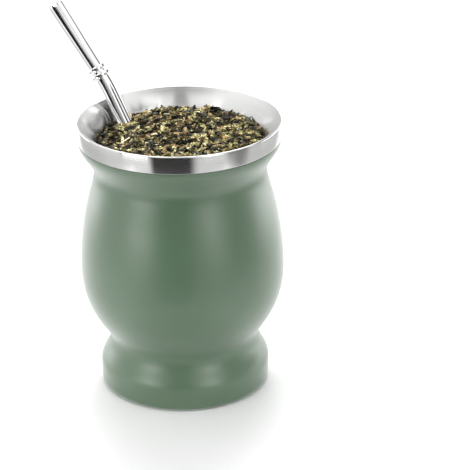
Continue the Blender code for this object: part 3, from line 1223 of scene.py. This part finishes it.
@dataclass
class TeaHeap:
    """The loose tea: a bed that fills the liner, painted in the darkest leaf tone as the shade in the gaps,
    with layers of single leaves on it.

    Attributes:
        cup: The cup that it fills.
        path: The tube that stands in it.
        edge_station: Which of the liner's stations its edge lies at.
        edge_height: How high its edge is.
        crown: How much higher its middle is.
        shoulder: How wide the slope at its edge is.
        bump_height: How high its bumps are.
        bump_size: How far apart they are.
        grit_height: How high the bed's fine bumps are.
        grit_size: How far apart they are.
        bed_depth: How far the bed lies under the level of the leaves.
        edge_drop: How far the edge dips.
        patch_margin: How far from the steel the leaves are laid.
        bed_gap: How far the bed keeps from the steel.
        rings: How many steps the bed's top has outwards.
        segments: How many steps it has round.
        leaf_gap: How far the leaves keep from the steel.
        swells: Directions, half widths and heights of its swells and hollows at the edge.
    """

    cup: Cup
    path: TubePath
    edge_station: int = 10
    edge_height: float = 0.1046
    crown: float = 0.0010
    shoulder: float = 0.0060
    bump_height: float = 0.0005
    bump_size: float = 0.0045
    grit_height: float = 0.0004
    grit_size: float = 0.0016
    bed_depth: float = 0.0030
    edge_drop: float = 0.0010
    patch_margin: float = 0.0008
    bed_gap: float = 0.00005
    rings: int = 60
    segments: int = 144
    leaf_gap: float = 0.0001
    swells: tuple[tuple[float, float, float], ...] = ((42.0, 26.0, 0.0002), (165.0, 50.0, -0.0020))

    def level(self, x: float, y: float) -> float:
        """Works out how high the tea is.

        Args:
            x: Where across the cup, to the right.
            y: Where across the cup, to the back.

        Returns:
            The height of the leaves' level there.
        """
        edge_radius = self.cup.liner_stations[self.edge_station][0]
        inward = smooth_share((edge_radius - math.hypot(x, y)) / self.shoulder)
        bump = noise.noise(Vector((x, y, 0.0)) / self.bump_size)
        heading = math.degrees(math.atan2(y, x))
        outward = (math.hypot(x, y) / edge_radius) ** 2
        swell = sum(height * math.exp(-(((heading - middle + 180.0) % 360.0 - 180.0) / width) ** 2)
                    for middle, width, height in self.swells)
        return (self.edge_height + self.crown * inward + self.bump_height * bump * inward
                - self.edge_drop * (1.0 - inward) + swell * outward)

    def funnel(self) -> Profile:
        """Returns the liner's inner side, a leaf's gap away from the steel."""
        return self.cup.liner_outline().shifted(self.leaf_gap)

    def bed_mesh(self) -> Mesh:
        """Builds the bed, which is finely bumped on top.

        Returns:
            The bed as one closed mesh.
        """
        edge = self.edge_height - self.bed_depth
        side = self.cup.liner_outline().shifted(self.bed_gap).below(edge).points[::-1]
        top = [(side[0][0] * i / self.rings, edge) for i in range(self.rings)]
        floor = [(0.0, self.cup.liner_floor + self.bed_gap)]
        mesh = turned_mesh("tea_bed", np.concatenate([top, side, floor]), self.segments)
        rim = side[0][0] - self.bed_gap
        for vertex in mesh.vertices:
            x, y, z = vertex.co
            if z > edge - self.bed_gap and math.hypot(x, y) < rim:
                grit = noise.noise(Vector((x, y, 1.0)) / self.grit_size) * self.grit_height
                vertex.co.z = self.level(x, y) - self.bed_depth + grit
        return mesh

    def patch_mesh(self) -> Mesh:
        """Builds the open surface that the leaves are laid on.

        Returns:
            A coarse disc at the tea's level.
        """
        radius = float(self.funnel().radius_at(np.array([self.edge_height]))[0]) - self.patch_margin
        shape = bmesh.new()
        bmesh.ops.create_circle(shape, cap_ends=True, segments=self.segments, radius=radius)
        bmesh.ops.poke(shape, faces=shape.faces)
        bmesh.ops.subdivide_edges(shape, edges=[e for e in shape.edges if not e.is_boundary], cuts=7)
        bmesh.ops.triangulate(shape, faces=shape.faces)
        for vertex in shape.verts:
            vertex.co.z = self.level(vertex.co.x, vertex.co.y)
        return closed_mesh(shape, "tea_patch")

    def settle(self, mesh: Mesh) -> None:
        """Keeps every leaf inside the funnel and outside the drinking tube.

        Args:
            mesh: The leaves, whose points are moved.
        """
        spots = np.zeros(len(mesh.vertices) * 3)
        mesh.vertices.foreach_get("co", spots)
        spots = spots.reshape(-1, 3)
        entry = np.array(self.path.entry)
        along = np.array(self.path.direction(0.0))
        keep_out = self.path.lower_radius + self.leaf_gap
        offsets = spots - entry
        across = offsets - np.outer(offsets @ along, along)
        distances = np.linalg.norm(across, axis=1)
        push = np.maximum(keep_out - distances, 0.0) / np.maximum(distances, 1e-6)
        spots += across * push[:, None]
        limit = self.funnel().radius_at(spots[:, 2])
        radii = np.hypot(spots[:, 0], spots[:, 1])
        spots[:, :2] *= np.minimum(limit / np.maximum(radii, 1e-6), 1.0)[:, None]
        mesh.vertices.foreach_set("co", spots.ravel())
        mesh.update()

    def layers(self) -> tuple[LeafLayer, ...]:
        """Lists the layers of leaves.

        Returns:
            The layers, in the order that they are laid in.
        """
        thread = LeafShape(length=0.0058, width=0.0016, thickness=0.00024, roll=230.0, bend=95.0, twist=200.0)
        curl = LeafShape(length=0.0047, width=0.0020, thickness=0.00026, roll=190.0, bend=130.0, twist=150.0)
        crumple = LeafShape(length=0.0038, width=0.0021, thickness=0.00024, roll=125.0, bend=80.0,
                            twist=110.0)
        flake = LeafShape(length=0.0025, width=0.0016, thickness=0.00016, roll=70.0, bend=60.0, twist=80.0)
        stalk = LeafShape(length=0.0042, width=0.0009, thickness=0.00030, roll=230.0, bend=45.0, twist=30.0)
        dark = DryLeaf("dark_leaf", ((0.003, 0.003, 0.002), (0.009, 0.010, 0.008), (0.029, 0.032, 0.027),
                                     (0.125, 0.135, 0.115)))
        brown = DryLeaf("brown_leaf", ((0.010, 0.007, 0.004), (0.053, 0.034, 0.015), (0.175, 0.115, 0.052),
                                       (0.450, 0.325, 0.160)))
        olive = DryLeaf("olive_leaf", ((0.014, 0.013, 0.006), (0.100, 0.089, 0.034), (0.310, 0.276, 0.114),
                                       (0.680, 0.620, 0.320)))
        golden = DryLeaf("golden_leaf", ((0.220, 0.160, 0.050), (0.520, 0.420, 0.170), (0.780, 0.690, 0.380),
                                         (0.940, 0.880, 0.640)))
        main_kinds = (thread, curl, crumple)
        return (
            LeafLayer("dark_leaves", main_kinds, dark, count=1300, seed=11, sizes=(0.65, 1.35)),
            LeafLayer("olive_leaves", main_kinds, olive, count=1450, seed=23),
            LeafLayer("brown_leaves", main_kinds, brown, count=1150, seed=31, sizes=(0.65, 1.35)),
            LeafLayer("golden_leaves", (thread, flake), golden, count=220, seed=37, sizes=(0.6, 1.1)),
            LeafLayer("olive_flakes", (flake, crumple), olive, count=700, seed=41, sizes=(0.5, 1.0)),
            LeafLayer("pale_stalks", (stalk,), golden, count=50, seed=53, sizes=(0.6, 1.1)),
        )

    def lay(self, scatter: LeafScatter, layer: LeafLayer, finish: Finish) -> Piece:
        """Lays one layer of leaves.

        Args:
            scatter: The node tree that lays them.
            layer: Which leaves, and how many.
            finish: The leaves' material.

        Returns:
            The layer as one piece.
        """
        store = bpy.data.collections.new(layer.name + "_kinds")
        for kind, shape in enumerate(layer.shapes):
            for i in range(layer.variants):
                name = f"{layer.name}_{kind}_{i}"
                mesh = shape.mesh(name, seed=layer.seed * 100 + kind * 10 + i)
                store.objects.link(bpy.data.objects.new(name, mesh))
        patch = self.patch_mesh()
        area = sum(face.area for face in patch.polygons)
        mesh = scatter.run(layer.name, patch, {
            "Density": layer.count / area,
            "Seed": layer.seed,
            "Smallest": layer.sizes[0],
            "Largest": layer.sizes[1],
            "Lowest": layer.lifts[0],
            "Highest": layer.lifts[1],
            "Tilt": math.radians(layer.tilt),
            "Clear Centre": (self.path.entry[0], self.path.entry[1], 0.0),
            "Clear Radius": self.path.lower_radius,
            "Leaves": store,
            "Finish": finish,
        })
        for leaf in list(store.objects):
            bpy.data.objects.remove(leaf)
        bpy.data.collections.remove(store)
        self.settle(mesh)
        return hand_over(add_piece(layer.name, mesh, finish, sharp=32.0), "tea_leaves")

    def build(self) -> list[Piece]:
        """Builds the whole heap.

        Returns:
            The bed and the layers of leaves.
        """
        finishes = {layer.finish.name: layer.finish for layer in self.layers()}
        materials = {name: finish.build() for name, finish in finishes.items()}
        bed = add_piece("tea_bed", self.bed_mesh(), materials["dark_leaf"])
        # The bed takes the darkest leaf tone: painted shade in the gaps between the leaves.
        tone = bed.data.attributes.new(TONE_NAME, "FLOAT", "POINT")
        tone.data.foreach_set("value", np.full(len(bed.data.vertices), 0.0))
        hand_over(bed, "tea_leaves")
        scatter = LeafScatter()
        return [bed] + [self.lay(scatter, layer, materials[layer.finish.name]) for layer in self.layers()]


@dataclass(frozen=True)
class Panel:
    """A light or dark card of the studio, as the directions that it covers from the cup.

    Attributes:
        azimuth: The way to its middle, from the camera's side towards the right.
        half_width: How far it reaches to both sides of that.
        low: The elevation of its lower edge.
        high: The elevation of its upper edge.
        blur: How soft its edges are.
        shade: How bright it is, where the table is 1.
    """

    azimuth: float
    half_width: float
    low: float
    high: float
    blur: float
    shade: float


@dataclass(frozen=True)
class Lamp:
    """A soft box that faces the cup.

    Attributes:
        name: The lamp's name.
        azimuth: The way to it from the cup, from the camera's side towards the right.
        distance: How far its middle is from the cup's axis, along the ground.
        width: Its width.
        height: Its height, square to the way that it faces.
        rise: How high its middle is.
        shade: How bright it is, where the table is 1.
        shows: Whether polished surfaces mirror it.
    """

    name: str
    azimuth: float
    distance: float
    width: float
    height: float
    rise: float
    shade: float
    shows: bool = True

    def place(self) -> Vector:
        """Returns the lamp's middle."""
        turn = math.radians(self.azimuth)
        return Vector((math.sin(turn) * self.distance, -math.cos(turn) * self.distance, self.rise))


@dataclass
class Studio:
    """The camera, the pale table and the soft light round the cup."""

    picture_width: int = 470
    focal_pixels: float = 2300.0
    sensor: float = 36.0
    aim: tuple[float, float, float] = (0.02108, 0.0, 0.06169)
    distance: float = 0.91767
    elevation: float = 23.37
    roll: float = -0.93
    table_front: float = -0.155
    table_back: float = 0.70
    table_half_width: float = 0.19
    table_shade: float = 0.87
    table_cloud: float = 0.02
    cloud_scale: float = 8.0
    low_walls: tuple[Pair, ...] = (
        (-180.0, 0.66), (-105.0, 0.72), (-86.0, 0.86), (-33.0, 0.98), (-27.0, 0.05), (8.0, 0.05),
        (23.0, 0.90), (56.0, 0.86), (70.0, 0.32), (76.0, 0.34), (88.0, 0.80), (130.0, 0.72), (180.0, 0.66),
    )
    tent: tuple[Pair, ...] = (
        (0.0, 0.95), (22.0, 1.10), (38.0, 1.25), (58.0, 1.38), (66.0, 1.12), (74.0, 0.78), (90.0, 0.40),
    )
    panels: tuple[Panel, ...] = (
        Panel(azimuth=-92.0, half_width=24.0, low=-16.0, high=12.0, blur=7.0, shade=1.25),
        Panel(azimuth=-138.0, half_width=22.0, low=-11.0, high=6.0, blur=5.0, shade=5.0),
        Panel(azimuth=130.0, half_width=28.0, low=-11.0, high=5.0, blur=5.0, shade=4.9),
        Panel(azimuth=180.0, half_width=30.0, low=-12.0, high=34.0, blur=8.0, shade=0.82),
        Panel(azimuth=180.0, half_width=28.0, low=38.0, high=62.0, blur=5.0, shade=5.0),
        Panel(azimuth=-56.0, half_width=24.0, low=46.0, high=62.0, blur=6.0, shade=1.50),
        Panel(azimuth=50.0, half_width=18.0, low=44.0, high=62.0, blur=6.0, shade=1.85),
        Panel(azimuth=-3.0, half_width=13.0, low=-90.0, high=29.0, blur=5.0, shade=0.42),
        Panel(azimuth=-3.0, half_width=13.0, low=46.0, high=95.0, blur=7.0, shade=0.54),
        Panel(azimuth=-8.0, half_width=22.5, low=-90.0, high=14.0, blur=5.0, shade=0.05),
        Panel(azimuth=-42.0, half_width=24.0, low=-9.0, high=22.0, blur=2.0, shade=0.02),
        Panel(azimuth=-22.0, half_width=10.0, low=8.0, high=30.0, blur=2.0, shade=0.02),
        Panel(azimuth=68.0, half_width=13.0, low=-20.0, high=26.0, blur=4.0, shade=0.30),
        Panel(azimuth=-53.0, half_width=7.0, low=18.0, high=36.0, blur=2.0, shade=5.0),
        Panel(azimuth=36.0, half_width=9.0, low=8.0, high=34.0, blur=2.0, shade=4.5),
        Panel(azimuth=-2.0, half_width=14.0, low=24.0, high=39.0, blur=2.0, shade=0.05),
        Panel(azimuth=69.0, half_width=10.0, low=36.0, high=43.0, blur=1.5, shade=0.06),
        Panel(azimuth=51.0, half_width=17.0, low=43.0, high=50.0, blur=1.5, shade=0.05),
        Panel(azimuth=124.0, half_width=11.0, low=26.0, high=56.0, blur=5.0, shade=0.01),
        Panel(azimuth=114.0, half_width=12.0, low=4.0, high=40.0, blur=4.0, shade=0.01),
    )
    lamps: tuple[Lamp, ...] = (
        Lamp("top_lamp", azimuth=178.0, distance=0.47, width=0.36, height=0.36, rise=0.94, shade=9.5,
             shows=False),
        Lamp("left_lamp", azimuth=-46.0, distance=0.35, width=0.18, height=0.085, rise=0.082, shade=5.6),
        Lamp("right_lamp", azimuth=37.0, distance=0.35, width=0.13, height=0.075, rise=0.090, shade=1.9),
    )

    def camera(self) -> None:
        """Sets up the long lens that looks down on the cup."""
        data = bpy.data.cameras.new("camera")
        data.sensor_width = self.sensor
        data.sensor_fit = "HORIZONTAL"
        data.lens = self.focal_pixels / self.picture_width * self.sensor
        data.clip_start = 0.01
        rise = math.radians(self.elevation)
        tilt = math.radians(self.roll)
        forward = Vector((0.0, math.cos(rise), -math.sin(rise)))
        right = Vector((1.0, 0.0, 0.0))
        up = right.cross(forward)
        side = right * math.cos(tilt) + up * math.sin(tilt)
        head = up * math.cos(tilt) - right * math.sin(tilt)
        made = linked("camera", data)
        turn = Matrix((side, head, -forward)).transposed().to_4x4()
        made.matrix_world = Matrix.Translation(Vector(self.aim) - forward * self.distance) @ turn
        bpy.context.scene.camera = made

    def table(self) -> None:
        """Lays the pale table top under the cup."""
        half = self.table_half_width
        corners = [(-half, self.table_front, 0.0), (half, self.table_front, 0.0),
                   (half, self.table_back, 0.0), (-half, self.table_back, 0.0)]
        mesh = bpy.data.meshes.new("table_top")
        mesh.from_pydata(corners, [], [(0, 1, 2, 3)])
        sheet = ShaderSheet("table_white", Roughness=0.6)
        shade = (self.table_shade,) * 3
        lighter = (self.table_shade + self.table_cloud,) * 3
        cloud = sheet.noise(sheet.place, self.cloud_scale)
        finish = sheet.feed(Base_Color=sheet.ramp(cloud, [(0.3, shade), (0.7, lighter)]))
        top = add_piece("table_top", mesh, finish)

    def light(self) -> None:
        """Wraps the cup in a bright tent with soft lights and dark cards in it."""
        world = bpy.data.worlds.new("light_tent")
        world.use_nodes = True
        bpy.context.scene.world = world
        sheet = NodeSheet(world.node_tree)
        looked = sheet.add("ShaderNodeTexCoord").outputs["Generated"]
        way = sheet.add("ShaderNodeSeparateXYZ", {"Vector": looked})
        front = sheet.math("MULTIPLY", way.outputs["Y"], -1.0)
        azimuth = sheet.math("DEGREES", sheet.math("ARCTAN2", way.outputs["X"], front))
        elevation = sheet.math("DEGREES", sheet.math("ARCSINE", way.outputs["Z"]))
        walls = sheet.grey_ramp(azimuth, self.low_walls)
        roof = sheet.grey_ramp(elevation, self.tent)
        shade = sheet.blend(sheet.math("GREATER_THAN", elevation, 0.0), walls, roof)
        for panel in self.panels:
            shade = self.hang(sheet, panel, azimuth, elevation, shade)
        tent = sheet.add("ShaderNodeBackground", {"Color": shade})
        plain = sheet.add("ShaderNodeBackground", {"Color": (1.0, 1.0, 1.0, 1.0)})
        seen = sheet.add("ShaderNodeLightPath").outputs["Is Camera Ray"]
        whole = sheet.add("ShaderNodeMixShader", {0: seen, 1: tent.outputs[0], 2: plain.outputs[0]})
        sheet.add("ShaderNodeOutputWorld", {"Surface": whole.outputs["Shader"]})

    def switch_on(self, lamp: Lamp) -> None:
        """Hangs a soft lamp that faces the middle of the cup.

        Args:
            lamp: The lamp.
        """
        data = bpy.data.lights.new(lamp.name, "AREA")
        data.shape = "RECTANGLE"
        data.size = lamp.width
        data.size_y = lamp.height
        data.energy = lamp.shade * math.pi * lamp.width * lamp.height
        made = linked(lamp.name, data)
        made.visible_glossy = lamp.shows
        place = lamp.place()
        aimed = (place - Vector((0.0, 0.0, self.aim[2]))).to_track_quat("Z", "Y").to_matrix().to_4x4()
        made.matrix_world = Matrix.Translation(place) @ aimed

    @staticmethod
    def hang(sheet: NodeSheet, panel: Panel, azimuth: Socket, elevation: Socket, behind: Socket) -> Socket:
        """Adds one panel to the tent.

        Args:
            sheet: The world's sheet.
            panel: The panel.
            azimuth: The looked-at direction's azimuth.
            elevation: Its elevation.
            behind: The shade that the panel covers.

        Returns:
            The shade with the panel in it.
        """
        covers = []
        spans = ((azimuth, panel.azimuth, panel.half_width),
                 (elevation, (panel.low + panel.high) / 2.0, (panel.high - panel.low) / 2.0))
        for angle, middle, half in spans:
            away = sheet.math("WRAP", sheet.math("SUBTRACT", angle, middle), 180.0, -180.0)
            side = sheet.math("ABSOLUTE", away)
            covers.append(sheet.remap(side, (half - panel.blur, half + panel.blur), (1.0, 0.0),
                                      interpolation_type="SMOOTHSTEP"))
        cover = sheet.math("MULTIPLY", *covers)
        return sheet.blend(cover, behind, (panel.shade,) * 3 + (1.0,))

    def build(self) -> None:
        """Sets up the whole studio, with colours shown as they are."""
        self.camera()
        self.table()
        self.light()
        for lamp in self.lamps:
            self.switch_on(lamp)
        bpy.context.scene.view_settings.view_transform = "Standard"


def main() -> None:
    """Builds the cup, its tea and its tube, and then the studio round them."""
    logging.basicConfig(level=logging.INFO, format="%(name)s: %(message)s")
    cup = Cup()
    path = TubePath()
    CoatedBody(cup).build()
    SteelLiner(cup).build()
    TeaHeap(cup, path).build()
    DrinkingTube(path).build()
    Studio().build()


if __name__ == "__main__":
    main()
